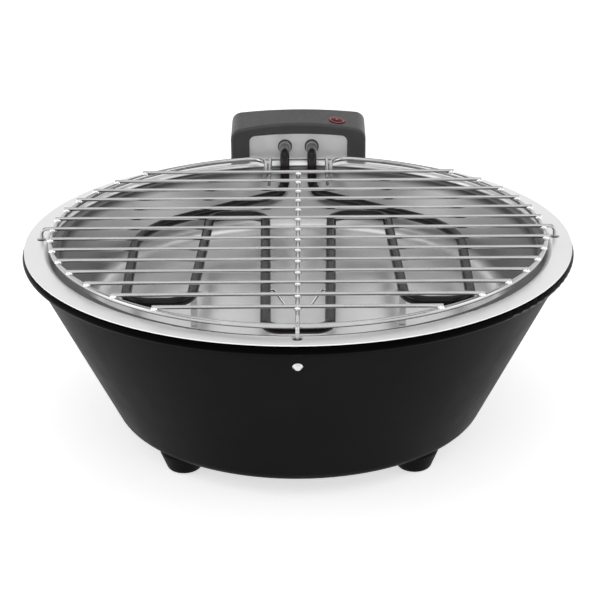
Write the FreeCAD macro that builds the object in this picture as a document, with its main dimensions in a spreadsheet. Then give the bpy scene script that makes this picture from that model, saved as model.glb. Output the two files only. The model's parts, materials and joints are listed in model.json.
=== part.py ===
"""Round table-top electric barbecue: bowl, drip pan, lift-out heater unit and wire grid.

Millimetres and degrees. The origin is on the table under the middle of the bowl, +Z is up,
the front faces -Y and the control box stands at the back, on the +Y side.
"""
import FreeCAD, Part
import math
import os
import re

import Sketcher
from FreeCAD import Placement, Rotation, Vector

SIZES = {
    # bowl
    "rim_height": 127.0,
    "foot_height": 12.5,
    "wall_lean": 26.2,
    "bowl_gauge": 1.0,
    "base_round": 11.0,
    "lip_radius": 175.0,
    "lip_bead": 6.0,
    "wall_inset": 1.2,
    "pan_seat": 0.3,
    # feet and their screws
    "foot_inset": 15.2,
    "foot_top": 30.0,
    "foot_tip": 20.0,
    "foot_collar": 9.0,
    "foot_round": 4.0,
    "foot_screw": 3.5,
    "foot_screw_reach": 7.0,
    "foot_screw_head": 7.0,
    "foot_screw_rise": 2.2,
    "screw_play": 0.05,
    # centring clips and rivets
    "clip_low_drop": 25.0,
    "clip_drop": 12.0,
    "clip_tip": 6.0,
    "clip_gauge": 0.8,
    "clip_sweep": 5.0,
    "clip_gap": 0.3,
    "rivet_drop": 17.0,
    "rivet_shank": 3.2,
    "rivet_head": 6.0,
    "rivet_dome": 1.7,
    "rivet_tail": 5.0,
    "rivet_tail_rise": 1.0,
    "rivet_seat": 0.05,
    # drip pan
    "pan_gauge": 0.7,
    "flange_inset": 1.1,
    "flange_width": 13.4,
    "step_drop": 3.0,
    "step_lean": 33.7,
    "ledge_width": 6.0,
    "pan_depth": 40.0,
    "pan_lean": 31.3,
    "pan_bend": 1.5,
    "floor_round": 10.0,
    "dimple_offset": 3.5,
    "dimple_mouth": 7.0,
    "dimple_seat": 3.4,
    "dimple_depth": 1.6,
    "dimple_drain": 2.0,
    # grid
    "ring_inset": 3.5,
    "ring_wire": 3.2,
    "ring_lift": 4.4,
    "ring_bend": 12.0,
    "ring_tail": 3.0,
    "tail_gap": 0.05,
    "cross_wire": 2.3,
    "first_wire_inset": 41.8,
    "last_wire_inset": 23.0,
    "wire_overhang": 1.5,
    "weld_bite": 0.15,
    "foot_bend": 3.5,
    "foot_gap": 0.3,
    "rod_wire": 2.5,
    "rod_climb": 7.0,
    "rod_climb_end": 7.0,
    "stay_offset": 20.0,
    "stay_foot_offset": 3.3,
    # heating element
    "tube": 6.5,
    "element_drop": 16.0,
    "leg_offset": 9.6,
    "leg_lift": 10.5,
    "leg_reach": 23.0,
    "leg_bend": 9.0,
    "outer_back_share": 0.7115,
    "outer_front_share": 0.6918,
    "shoulder_share": 0.4066,
    "shoulder_bend_share": 0.4721,
    "outer_loop_front_share": 0.4623,
    "outer_bend_share": 0.1049,
    "inner_back_share": 0.3954,
    "inner_front_share": 0.4295,
    "inner_loop_back_share": 0.5836,
    "inner_bend_share": 0.0787,
    "centre_back_share": 0.1482,
    "centre_front_share": 0.1246,
    "centre_loop_front_share": 0.7344,
    "centre_bend_share": 0.0590,
    "tube_inside_share": 0.24,
    "support_place_share": 0.3148,
    "support_half": 9.2,
    "support_stem": 4.0,
    "support_depth": 4.0,
    "support_gauge": 1.2,
    "support_play": 0.05,
    # control box
    "box_overlap": 13.0,
    "box_seat": 0.3,
    "box_wall": 2.4,
    "front_half": 48.5,
    "front_side": 22.0,
    "front_rise": 6.0,
    "top_slope": 6.0,
    "crest_share": 0.56,
    "box_depth": 50.0,
    "back_fall": 5.0,
    "box_shoulder": 8.0,
    "box_crest": 6.0,
    "box_edge": 2.0,
    "opening_margin": 13.3,
    "opening_drop": 3.7,
    "opening_rise": 2.0,
    "opening_corner": 4.5,
    "base_play": 0.15,
    "skirt_margin": 0.5,
    "skirt_gap": 2.5,
    "skirt_gauge": 2.5,
    "skirt_drop": 20.0,
    "boss_across": 7.5,
    "boss_inset": 11.5,
    "boss_front_share": 0.44,
    "boss_back_share": 0.78,
    "box_screw": 3.0,
    "box_screw_reach": 10.0,
    "box_screw_head": 6.0,
    "box_screw_rise": 1.8,
    # heat shield, collars and terminals
    "shield_gauge": 1.0,
    "shield_lap": 3.0,
    "shield_side_lap": 1.0,
    "shield_rise": 4.5,
    "collar_across": 10.0,
    "collar_neck": 8.4,
    "collar_flange": 1.4,
    "collar_length": 4.5,
    "tube_play": 0.05,
    "bead_across": 8.0,
    "bead_length": 5.0,
    "pin_across": 2.4,
    "pin_length_share": 0.28,
    "pin_play": 0.05,
    # wiring in the box
    "lead_across": 2.2,
    "lead_reach_share": 0.16,
    "lead_bend_share": 0.243,
    "lead_arch_share": 1.6,
    "block_gap": 0.75,
    "block_width": 17.0,
    "block_depth_share": 0.2,
    "block_rise": 6.5,
    "cutout_across_share": 0.28,
    "cutout_neck": 11.0,
    "cutout_skirt_rise": 4.0,
    "link_rise": 2.6,
    # pilot lamp and cord inlet
    "lamp_inset": 20.5,
    "lamp_run": 10.2,
    "lamp_across": 11.8,
    "lamp_play": 0.1,
    "lamp_proud": 0.9,
    "lens_length": 6.4,
    "lamp_dome": 0.8,
    "lamp_lip": 13.0,
    "lamp_lip_rise": 1.2,
    "holder_across": 8.0,
    "holder_length": 11.0,
    "inlet_inset": 24.5,
    "inlet_rise": 6.5,
    "inlet_hole": 10.0,
    "inlet_bore": 7.6,
    "inlet_flange": 12.0,
    "inlet_lip": 1.6,
    "inlet_play": 0.05,
    # cuts run past the faces they open by this much
    "overrun": 5.0,
}
WIRE_COUNT = 14
FOOT_WIRE_NUMBER = 7
# Sizes that follow from the ones above.
DERIVED = {
    "base_radius": "lip_radius - lip_bead / 2 - wall_inset - (rim_height - pan_gauge - pan_seat"
                   " - 3 * lip_bead / 4 - foot_height) * tan(wall_lean)",
    "foot_circle": "base_radius - foot_inset",
    "clip_low": "rim_height - clip_low_drop",
    "clip_high": "rim_height - clip_drop",
    "rivet_height": "rim_height - rivet_drop",
    "flange_radius": "lip_radius - flange_inset",
    "step_radius": "flange_radius - flange_width",
    "well_radius": "step_radius - step_drop * tan(step_lean) - ledge_width",
    "dimple_circle": "step_radius + dimple_offset",
    "ring_radius": "step_radius - ring_inset",
    "first_wire": "ring_radius - first_wire_inset",
    "wire_pitch": f"(first_wire + ring_radius - last_wire_inset) / {WIRE_COUNT - 1}",
    "stay_foot_circle": "well_radius + stay_foot_offset",
    "box_front": "lip_radius - box_overlap",
    "leg_front": "box_front - leg_reach",
    "crest_place": "box_front + box_depth * crest_share",
    "box_back": "box_front + box_depth",
    "boss_front": "box_front + box_depth * boss_front_share",
    "boss_back": "box_front + box_depth * boss_back_share",
    "lamp_place": "box_front + lamp_run",
    "front_crown": "front_side + front_rise",
    "back_side": "front_side - back_fall",
    "opening_half": "front_half - opening_margin",
    "opening_side": "front_side - opening_drop",
    "opening_crown": "opening_side + opening_rise",
    "shield_half": "opening_half + shield_lap",
    "shield_side": "opening_side + shield_side_lap",
    "shield_crown": "shield_side + shield_rise",
    "boss_offset": "front_half - boss_inset",
    "skirt_half": "boss_offset - box_screw_head / 2 - skirt_margin",
    "block_place": "boss_offset - boss_across / 2 - block_gap - block_width / 2",
    "lead_bend": "(block_place - leg_offset) * lead_bend_share",
    "lamp_side": "front_half - lamp_inset",
    "inlet_side": "front_half - inlet_inset",
}
for name in ("outer_back", "outer_front", "shoulder", "shoulder_bend", "outer_loop_front",
             "outer_bend", "inner_back", "inner_front", "inner_loop_back", "inner_bend",
             "centre_back", "centre_front", "centre_loop_front", "centre_bend", "support_place"):
    DERIVED[name] = f"well_radius * {name}_share"
for name in ("tube_inside", "pin_length", "lead_reach", "block_depth", "cutout_across"):
    DERIVED[name] = f"box_depth * {name}_share"
DERIVED["inner_lean"] = "(inner_front - inner_back) / (inner_loop_back + outer_loop_front)"
DERIVED["support_across"] = "inner_back + (inner_loop_back + support_place) * inner_lean"
FULL_TURN = 360
CLIP_TURN_SHARES = {"front": -1 / 4, "rear_right": 1 / 12, "rear_left": 5 / 12}
FOOT_TURN_SHARES = {"front_left": -3 / 8, "front_right": -1 / 8, "rear_right": 1 / 8,
                    "rear_left": 3 / 8}
CLIP_ANGLES = {name: FULL_TURN * share for name, share in CLIP_TURN_SHARES.items()}
FOOT_ANGLES = {name: FULL_TURN * share for name, share in FOOT_TURN_SHARES.items()}

UP = Vector(0, 0, 1)
ACROSS = Vector(1, 0, 0)
BACK = Vector(0, 1, 0)

doc = FreeCAD.newDocument("electric_grill")
sheet = doc.addObject("Spreadsheet::Sheet", "Sizes")
contents = {alias: str(size) for alias, size in SIZES.items()}
contents.update((alias, "=" + formula) for alias, formula in DERIVED.items())
for row, (alias, content) in enumerate(contents.items(), 1):
    sheet.set(f"A{row}", alias)
    sheet.setAlias(f"B{row}", alias)
    sheet.set(f"B{row}", content)
doc.recompute()

nodes = []


def value(expression):
    """The number that an expression in the sheet's names gives."""
    return float(sheet.evalExpression(expression))


def bind(owner, prop, expression):
    """Ties a property to an expression in the sheet's names."""
    named = re.sub(r"\b([a-z]\w*_?\w*)\b",
                   lambda word: "Sizes." + word[1] if word[1] in contents else word[1], expression)
    owner.setExpression(prop, named)


def node(piece, label):
    """Names a finished sub-part and puts it on the list that is written out."""
    piece.Label = label
    nodes.append(piece)
    return piece


def new_body(name):
    return doc.addObject("PartDesign::Body", name)


def plane_of(body, role):
    return [feature for feature in body.Origin.OriginFeatures if feature.Role == role][0]


def sketch_on(body, name, role, station="0"):
    """A sketch on one of the body's own origin planes, moved along its normal."""
    sketch = body.newObject("Sketcher::SketchObject", name)
    sketch.AttachmentSupport = [(plane_of(body, role), "")]
    sketch.MapMode = "FlatFace"
    bind(sketch, "AttachmentOffset.Base.z", station)
    return sketch


def pin_point(sketch, geometry, end, x, y):
    """Holds a sketch point at two expressions."""
    for kind, axis, expression in (("DistanceX", -2, x), ("DistanceY", -1, y)):
        place = value(expression)
        if place == 0:
            sketch.addConstraint(Sketcher.Constraint("PointOnObject", geometry, end, axis))
        else:
            index = sketch.addConstraint(
                Sketcher.Constraint(kind, -1, 1, geometry, end, place))
            bind(sketch, f"Constraints[{index}]", expression)


def polygon(sketch, points):
    """A closed outline whose corners follow pairs of expressions."""
    corners = [Vector(value(x), value(y), 0) for x, y in points]
    count = len(corners)
    first = sketch.GeometryCount
    for index in range(count):
        sketch.addGeometry(Part.LineSegment(corners[index], corners[(index + 1) % count]))
    for index in range(count):
        follower = first + (index + 1) % count
        sketch.addConstraint(Sketcher.Constraint("Coincident", first + index, 2, follower, 1))
    for index, (x, y) in enumerate(points):
        pin_point(sketch, first + index, 1, x, y)


def circle(sketch, x, y, across):
    """A circle whose centre and diameter follow expressions."""
    centre = Vector(value(x), value(y), 0)
    index = sketch.addGeometry(Part.Circle(centre, UP, value(across) / 2))
    pin_point(sketch, index, 3, x, y)
    size = sketch.addConstraint(Sketcher.Constraint("Diameter", index, value(across)))
    bind(sketch, f"Constraints[{size}]", across)


def crowned(sketch, half, low, side, crown):
    """A section with upright sides and a shallow arch for its top."""
    wide = value(half)
    corners = [Vector(-wide, value(side), 0), Vector(-wide, value(low), 0),
               Vector(wide, value(low), 0), Vector(wide, value(side), 0)]
    for start, end in zip(corners, corners[1:]):
        sketch.addGeometry(Part.LineSegment(start, end))
    arch = Part.Arc(corners[3], Vector(0, value(crown), 0), corners[0])
    sketch.addGeometry(arch)
    for geometry in range(3):
        sketch.addConstraint(Sketcher.Constraint("Coincident", geometry, 2, geometry + 1, 1))
    sketch.addConstraint(Sketcher.Constraint("Coincident", 3, 2, 0, 1))
    pin_point(sketch, 0, 1, f"-({half})", side)
    pin_point(sketch, 1, 1, f"-({half})", low)
    pin_point(sketch, 2, 1, half, low)
    pin_point(sketch, 2, 2, half, side)
    rise = f"(({crown}) - ({side}))"
    bulge = f"(({half})^2 + {rise}^2) / (2 * {rise})"
    size = sketch.addConstraint(Sketcher.Constraint("Radius", 3, value(bulge)))
    bind(sketch, f"Constraints[{size}]", bulge)


def revolve(body, sketch, name, sweep=None):
    """A full turn about the sketch's upright axis, or a sweep even to both sides of it."""
    turned = body.newObject("PartDesign::Revolution", name)
    turned.Profile = sketch
    turned.ReferenceAxis = (sketch, ["V_Axis"])
    turned.Angle = FULL_TURN
    if sweep:
        turned.Midplane = True
        bind(turned, "Angle", sweep)
    doc.recompute()
    return turned


def pad(body, sketch, name, length, reverse=False):
    grown = body.newObject("PartDesign::Pad", name)
    grown.Profile = sketch
    grown.Reversed = reverse
    bind(grown, "Length", length)
    doc.recompute()
    return grown


def pocket(body, sketch, name, length, reverse=False):
    """Cuts the sketch through the solid and makes sure that something went."""
    before = body.Shape.Volume
    cut = body.newObject("PartDesign::Pocket", name)
    cut.Profile = sketch
    cut.Reversed = reverse
    bind(cut, "Length", length)
    doc.recompute()
    if body.Shape.Volume >= before:
        raise RuntimeError(f"{name} cuts nothing")
    return cut


def round_edges(body, base, name, radius, picked):
    """A fillet on the edges of the body's last feature that a test picks."""
    chosen = [f"Edge{number}" for number, edge in enumerate(base.Shape.Edges, 1) if picked(edge)]
    if not chosen:
        raise RuntimeError(f"{name} finds no edge")
    rounding = body.newObject("PartDesign::Fillet", name)
    rounding.Base = (base, chosen)
    bind(rounding, "Radius", radius)
    doc.recompute()
    return rounding


def circle_at(radius, height):
    """A test for the round edge of a turned piece with this radius at this height."""
    wide, high = value(radius), value(height)

    def picked(edge):
        curve = edge.Curve
        if not isinstance(curve, Part.Circle):
            return False
        return math.isclose(curve.Radius, wide, rel_tol=1e-6) and \
            math.isclose(edge.Vertexes[0].Z, high, rel_tol=1e-6)
    return picked


def rounded_path(points, bends):
    """Straight runs joined by tangent arcs, one bend radius for each inner point."""
    edges = []
    start = points[0]
    for before, corner, after, bend in zip(points, points[1:], points[2:], bends):
        back_way = (before - corner).normalize()
        on_way = (after - corner).normalize()
        half_angle = back_way.getAngle(on_way) / 2
        cut = bend / math.tan(half_angle)
        inward = (back_way + on_way).normalize()
        middle = corner + inward * (bend / math.sin(half_angle) - bend)
        arc_start = corner + back_way * cut
        arc_end = corner + on_way * cut
        edges.append(Part.LineSegment(start, arc_start).toShape())
        edges.append(Part.Arc(arc_start, middle, arc_end).toShape())
        start = arc_end
    edges.append(Part.LineSegment(start, points[-1]).toShape())
    return Part.Wire(edges)


def swept(name, path, across):
    """A round bar along a path, its diameter tied to the sheet."""
    spine = doc.addObject("Part::Feature", name + "_path")
    spine.Shape = path
    first = path.OrderedEdges[0]
    section = doc.addObject("Part::Circle", name + "_section")
    bind(section, "Radius", f"({across}) / 2")
    start = path.OrderedVertexes[0].Point
    way = first.tangentAt(first.getParameterByLength(0))
    section.Placement = Placement(start, Rotation(UP, way))
    bar = doc.addObject("Part::Sweep", name)
    bar.Sections = [section]
    bar.Spine = (spine, [])
    bar.Solid = True
    doc.recompute()
    return bar


def spread(label, form, placements):
    """One node of several like solids: a form copied to each placement."""
    copies = []
    for placement in placements:
        copy = form.Shape.copy()
        copy.Placement = placement.multiply(copy.Placement)
        copies.append(copy)
    group = doc.addObject("Part::Feature", label)
    group.Shape = Part.Compound(copies)
    return node(group, label)


def turned_about_z(angle, offset=Vector()):
    return Placement(Vector(), Rotation(UP, angle)).multiply(Placement(offset, Rotation()))


# Heights and radii that several pieces share, as expressions.
LIP_RADIUS = "(lip_radius - lip_bead / 2)"
LIP_HEIGHT = "(rim_height - pan_gauge - pan_seat - lip_bead / 2)"
WALL_TOP = "(rim_height - pan_gauge - pan_seat - 3 * lip_bead / 4)"
LEDGE_RADIUS = "(step_radius - step_drop * tan(step_lean))"
LEDGE_HEIGHT = "(rim_height - step_drop)"
FLOOR_HEIGHT = "(rim_height - pan_depth)"
FLOOR_RADIUS = "(well_radius - (pan_depth - step_drop) * tan(pan_lean))"
STEP_SHIFT = "(pan_gauge * tan((90 - step_lean) / 2))"
WELL_SHIFT = "(pan_gauge * tan((90 - pan_lean) / 2))"
RING_HEIGHT = "(rim_height + ring_lift)"
WIRE_HEIGHT = "(rim_height + ring_lift + (ring_wire + cross_wire) / 2 - weld_bite)"
FOOT_WIRE_END = "(rim_height - dimple_depth + foot_gap)"
LEG_HEIGHT = "(rim_height + leg_lift)"
ELEMENT_HEIGHT = "(rim_height - element_drop)"
BOX_LOW = "(rim_height + box_seat)"
SHIELD_FRONT = "(box_front + box_wall)"
SHIELD_BACK = "(box_front + box_wall + shield_gauge)"
TUBE_END = "(box_front + box_wall + shield_gauge + tube_inside)"
PIN_END = f"({TUBE_END} + pin_length)"
BASE_TOP = "(rim_height + box_seat + box_wall)"
CREST = "(rim_height + front_crown + (crest_place - box_front) * tan(top_slope))"
BACK_TOP = "(rim_height + back_side)"
BACK_SLOPE = f"(({CREST} - {BACK_TOP}) / (box_back - crest_place))"


def bowl_outside(height):
    return f"(base_radius + (({height}) - foot_height) * tan(wall_lean))"


def bowl_inside(height):
    return f"({bowl_outside(height)} - bowl_gauge / cos(wall_lean))"


def pan_outside(height):
    drop = f"({LEDGE_HEIGHT} - pan_gauge - ({height}))"
    return f"(well_radius + {WELL_SHIFT} - {drop} * tan(pan_lean))"


def make_bowl_envelope(name, top):
    """The solid cone inside the bowl's outer skin, with its rounded base edge."""
    body = new_body(name)
    sketch = sketch_on(body, name + "_profile", "XZ_Plane")
    polygon(sketch, [("0", "foot_height"), ("base_radius", "foot_height"),
                     (bowl_outside(top), top), ("0", top)])
    turned = revolve(body, sketch, name + "_turned")
    round_edges(body, turned, name + "_round", "base_round",
                circle_at("base_radius", "foot_height"))
    return body


def make_bowl():
    """Pressed steel bowl with a wired lip, holes for the rivets and the foot screws."""
    body = new_body("bowl_shell")
    floor = "(foot_height + bowl_gauge)"
    wall = sketch_on(body, "bowl_wall", "XZ_Plane")
    polygon(wall, [("0", "foot_height"), ("base_radius", "foot_height"),
                   (bowl_outside(WALL_TOP), WALL_TOP), (bowl_inside(WALL_TOP), WALL_TOP),
                   (bowl_inside(floor), floor), ("0", floor)])
    turned = revolve(body, wall, "bowl_turned")
    outer = round_edges(body, turned, "bowl_base_round", "base_round",
                        circle_at("base_radius", "foot_height"))
    round_edges(body, outer, "bowl_inner_round", "base_round - bowl_gauge",
                circle_at(bowl_inside(floor), floor))
    bead = sketch_on(body, "bowl_bead", "XZ_Plane")
    circle(bead, LIP_RADIUS, LIP_HEIGHT, "lip_bead")
    revolve(body, bead, "bowl_lip")

    screw_holes = sketch_on(body, "bowl_screw_holes", "XY_Plane", "foot_height - overrun")
    for angle in FOOT_ANGLES.values():
        circle(screw_holes, f"foot_circle * cos({angle})", f"foot_circle * sin({angle})",
               "foot_screw + 2 * screw_play")
    pocket(body, screw_holes, "bowl_screw_pocket", "2 * overrun", reverse=True)
    return node(drill_for_rivets(body, CLIP_ANGLES.values()), "outer_bowl")


def rivet_place(angle):
    """Where a rivet crosses the bowl's outer face, its axis square to the wall."""
    seat = Vector(value(bowl_outside("rivet_height")), 0, value("rivet_height"))
    tilt = Rotation(BACK, 90 + value("wall_lean"))
    return turned_about_z(angle).multiply(Placement(seat, tilt))


def make_foot(label, angle):
    """Moulded foot: a rounded cone whose top is shaped to the bowl's base edge."""
    blank = new_body(label + "_blank")
    sketch = sketch_on(blank, label + "_profile", "XZ_Plane")
    top = "(foot_height + foot_collar)"
    polygon(sketch, [("0", "0"), ("foot_tip / 2", "0"), ("foot_top / 2", "foot_height"),
                     ("foot_top / 2", top), ("0", top)])
    turned = revolve(blank, sketch, label + "_turned")
    round_edges(blank, turned, label + "_round", "foot_round",
                lambda edge: isinstance(edge.Curve, Part.Circle) and edge.Vertexes[0].Z == 0)
    pilot = sketch_on(blank, label + "_pilot", "XY_Plane", "foot_height - foot_screw_reach")
    circle(pilot, "0", "0", "foot_screw + 2 * screw_play")
    pocket(blank, pilot, label + "_pilot_hole", "foot_screw_reach + foot_collar", reverse=True)
    blank.Placement = turned_about_z(angle, Vector(value("foot_circle"), 0, 0))
    bowl = make_bowl_envelope(label + "_bowl", LIP_HEIGHT)
    foot = doc.addObject("Part::Cut", label)
    foot.Base = blank
    foot.Tool = bowl
    doc.recompute()
    return node(foot, label)


def make_foot_screws():
    """Pan-head screws put in from inside the bowl."""
    form = new_body("foot_screw_form")
    sketch = sketch_on(form, "foot_screw_profile", "XZ_Plane")
    head_low = "(foot_height + bowl_gauge)"
    tip = "(foot_height - foot_screw_reach)"
    head_top = f"({head_low} + foot_screw_rise)"
    polygon(sketch, [("0", tip), ("foot_screw / 2", tip), ("foot_screw / 2", head_low),
                     ("foot_screw_head / 2", head_low), ("foot_screw_head / 2", head_top),
                     ("0", head_top)])
    turned = revolve(form, sketch, "foot_screw_turned")
    round_edges(form, turned, "foot_screw_round", "foot_screw_rise / 2",
                circle_at("foot_screw_head / 2", head_top))
    offset = Vector(value("foot_circle"), 0, 0)
    spread("foot_screws", form,
           [turned_about_z(angle, offset) for angle in FOOT_ANGLES.values()])


def make_clip(label, angle):
    """Bent strip riveted inside the bowl, its tip beside the pan's wall."""
    body = new_body(label + "_strip")
    sketch = sketch_on(body, label + "_profile", "XZ_Plane")
    under = "(clip_high - clip_gauge)"
    tip = "(clip_high - clip_tip)"

    def beside_pan(height):
        return f"({pan_outside(height)} + clip_gap / cos(pan_lean))"
    polygon(sketch, [
        (bowl_inside("clip_low"), "clip_low"), (bowl_inside("clip_high"), "clip_high"),
        (beside_pan("clip_high"), "clip_high"), (beside_pan(tip), tip),
        (f"{beside_pan(tip)} + clip_gauge", tip), (f"{beside_pan(under)} + clip_gauge", under),
        (f"{bowl_inside(under)} - clip_gauge", under),
        (f"{bowl_inside('clip_low')} - clip_gauge", "clip_low")])
    revolve(body, sketch, label + "_turned", "clip_sweep")
    body.Placement = turned_about_z(angle)
    return node(drill_for_rivets(body, [angle]), label)


def make_rivets():
    """Domed rivets through the bowl's wall and the clips."""
    form = new_body("rivet_form")
    sketch = sketch_on(form, "rivet_profile", "XZ_Plane")
    grip = "(bowl_gauge + clip_gauge * cos(wall_lean) + rivet_seat)"
    polygon(sketch, [
        ("0", "-(rivet_dome)"), ("rivet_head / 4", "-(rivet_dome)"), ("rivet_head / 2", "0"),
        ("rivet_shank / 2", "0"), ("rivet_shank / 2", grip), ("rivet_tail / 2", grip),
        ("rivet_tail / 2", f"{grip} + rivet_tail_rise"), ("0", f"{grip} + rivet_tail_rise")])
    turned = revolve(form, sketch, "rivet_turned")
    round_edges(form, turned, "rivet_round", "rivet_dome / 2",
                circle_at("rivet_head / 4", "-(rivet_dome)"))
    flip = Placement(Vector(), Rotation(ACROSS, 180))
    spread("clip_rivets", form,
           [rivet_place(angle).multiply(flip) for angle in CLIP_ANGLES.values()])


def drill_for_rivets(piece, angles):
    """Opens the bowl's wall or a clip for its rivets."""
    for angle in angles:
        drill = doc.addObject("Part::Cylinder", piece.Name + "_drill")
        bind(drill, "Radius", "rivet_shank / 2")
        bind(drill, "Height", "2 * overrun")
        centre = Placement(Vector(0, 0, -value("overrun")), Rotation())
        drill.Placement = rivet_place(angle).multiply(centre)
        drilled = doc.addObject("Part::Cut", piece.Name + "_drilled")
        drilled.Base = piece
        drilled.Tool = drill
        piece = drilled
    doc.recompute()
    return piece


def make_drip_pan():
    """Polished pressed pan: flange, step, ledge, leaning wall and flat floor."""
    body = new_body("drip_pan")
    sketch = sketch_on(body, "pan_profile", "XZ_Plane")
    top = [("flange_radius", "rim_height"), ("step_radius", "rim_height"),
           (LEDGE_RADIUS, LEDGE_HEIGHT), ("well_radius", LEDGE_HEIGHT),
           (FLOOR_RADIUS, FLOOR_HEIGHT), ("0", FLOOR_HEIGHT)]
    shifts = ["0", STEP_SHIFT, STEP_SHIFT, WELL_SHIFT, WELL_SHIFT, "0"]
    under = [(f"({radius} + {shift})" if shift != "0" else radius, f"({height} - pan_gauge)")
             for (radius, height), shift in zip(top, shifts)]
    polygon(sketch, top + under[::-1])
    last = revolve(body, sketch, "pan_turned")
    tight, wide = "pan_bend", "pan_bend + pan_gauge"
    for name, corner, upper, lower in (("step", 1, wide, tight), ("ledge", 2, tight, wide),
                                       ("well", 3, wide, tight),
                                       ("floor", 4, "floor_round", "floor_round + pan_gauge")):
        last = round_edges(body, last, f"pan_{name}_upper", upper, circle_at(*top[corner]))
        last = round_edges(body, last, f"pan_{name}_lower", lower, circle_at(*under[corner]))
    for number, (x, y) in enumerate(foot_places()):
        make_dimple(body, number, x, y)
    return node(body, "drip_pan")


def foot_places():
    """Where the grid's front and side feet stand, as expressions."""
    side = f"(first_wire - {FOOT_WIRE_NUMBER - 1} * wire_pitch)"
    return [("0", "-(dimple_circle)"), ("dimple_circle", side), ("-(dimple_circle)", side)]


def make_dimple(body, number, x, y):
    """A conical dimple pressed into the flange, with a small drain."""
    spots = (("outer", "AdditiveCone", "dimple_mouth + 2 * pan_gauge",
              "dimple_seat + 2 * pan_gauge", "rim_height - pan_gauge", "dimple_depth"),
             ("inner", "SubtractiveCone", "dimple_mouth", "dimple_seat", "rim_height",
              "dimple_depth"))
    for name, kind, mouth, seat, high, depth in spots:
        cone = body.newObject("PartDesign::" + kind, f"dimple_{name}_{number}")
        bind(cone, "Radius1", f"({seat}) / 2")
        bind(cone, "Radius2", f"({mouth}) / 2")
        bind(cone, "Height", depth)
        bind(cone, "AttachmentOffset.Base.x", x)
        bind(cone, "AttachmentOffset.Base.y", y)
        bind(cone, "AttachmentOffset.Base.z", f"({high}) - ({depth})")
        cone.AttachmentSupport = [(plane_of(body, "XY_Plane"), "")]
        cone.MapMode = "FlatFace"
        doc.recompute()
    drain = sketch_on(body, f"dimple_drain_{number}", "XY_Plane", "rim_height")
    circle(drain, x, y, "dimple_drain")
    pocket(body, drain, f"dimple_drain_hole_{number}", "overrun")


def make_grid_ring():
    """The grid's frame: one wire round the rim whose two ends turn in beside the stays."""
    height = value(RING_HEIGHT)
    radius = value("ring_radius")
    bend = value("ring_bend")
    tail = value("stay_offset + (ring_wire + cross_wire) / 2 + tail_gap")
    centre = Vector(tail + bend, math.sqrt((radius - bend) ** 2 - (tail + bend) ** 2), height)
    flat = Vector(centre.x, centre.y, 0)
    join = flat * (radius / (radius - bend)) + UP * height
    middle = centre + (flat.normalize() - ACROSS).normalize() * bend
    straight_end = Vector(tail, centre.y, height)
    start = Vector(tail, value("first_wire - ring_tail"), height)
    front = Vector(0, -radius, height)
    side = (join - front).cross(UP).normalize()
    side = Vector(abs(side.x), side.y, 0) * radius + UP * height

    def mirrored(point):
        return Vector(-point.x, point.y, point.z)
    right = [Part.LineSegment(start, straight_end), Part.Arc(straight_end, middle, join),
             Part.Arc(join, side, front)]
    left = [Part.Arc(front, mirrored(side), mirrored(join)),
            Part.Arc(mirrored(join), mirrored(middle), mirrored(straight_end)),
            Part.LineSegment(mirrored(straight_end), mirrored(start))]
    path = Part.Wire([curve.toShape() for curve in right + left])
    return node(swept("grid_ring", path, "ring_wire"), "grid_ring")


def make_cross_wire(number):
    """A straight wire across the ring, its ends just over it."""
    label = f"grid_wire_{number:02d}"
    place = f"(first_wire - {number - 1} * wire_pitch)"
    half = f"(sqrt(ring_radius^2 - {place}^2) + wire_overhang)"
    wire = doc.addObject("Part::Cylinder", label)
    bind(wire, "Radius", "cross_wire / 2")
    bind(wire, "Height", f"2 * {half}")
    wire.Placement = Placement(Vector(-value(half), value(place), value(WIRE_HEIGHT)),
                               Rotation(UP, ACROSS))
    bind(wire, "Placement.Base.x", f"-{half}")
    bind(wire, "Placement.Base.y", place)
    bind(wire, "Placement.Base.z", WIRE_HEIGHT)
    return node(wire, label)


def make_foot_wire():
    """The longer wire near the middle, bent down at both ends into the side feet."""
    label = f"grid_wire_{FOOT_WIRE_NUMBER:02d}"
    (_, _), (right, place), (left, _) = foot_places()
    corners = [(left, FOOT_WIRE_END), (left, WIRE_HEIGHT), (right, WIRE_HEIGHT),
               (right, FOOT_WIRE_END)]
    points = [Vector(value(x), value(place), value(z)) for x, z in corners]
    path = rounded_path(points, [value("foot_bend")] * 2)
    return node(swept(label, path, "cross_wire"), label)


def make_centre_rod():
    """The rod under the cross wires, which climbs over the ring into the front foot."""
    low = value(WIRE_HEIGHT + " - (cross_wire + rod_wire) / 2 + weld_bite")
    high = value(RING_HEIGHT + " + (ring_wire + rod_wire) / 2 - weld_bite")
    front = -value("dimple_circle")
    climb_end = -value("ring_radius - rod_climb_end")
    points = [Vector(0, value("first_wire + cross_wire"), low),
              Vector(0, climb_end + value("rod_climb"), low), Vector(0, climb_end, high),
              Vector(0, front, high), Vector(0, front, value(FOOT_WIRE_END))]
    bend = value("foot_bend")
    path = rounded_path(points, [bend, bend, bend])
    return node(swept("grid_centre_rod", path, "rod_wire"), "grid_centre_rod")


def make_rear_stay(label, side):
    """A short wire beside the heater's legs, from the second wire to the pan's ledge."""
    across = side * value("stay_offset")
    height = value(WIRE_HEIGHT + " - cross_wire + weld_bite")
    back = math.sqrt(value("stay_foot_circle") ** 2 - across ** 2)
    foot = value(LEDGE_HEIGHT + " + foot_gap")
    points = [Vector(across, value("first_wire - wire_pitch - cross_wire"), height),
              Vector(across, back, height), Vector(across, back, foot)]
    path = rounded_path(points, [value("foot_bend")])
    return node(swept(label, path, "cross_wire"), label)


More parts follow.
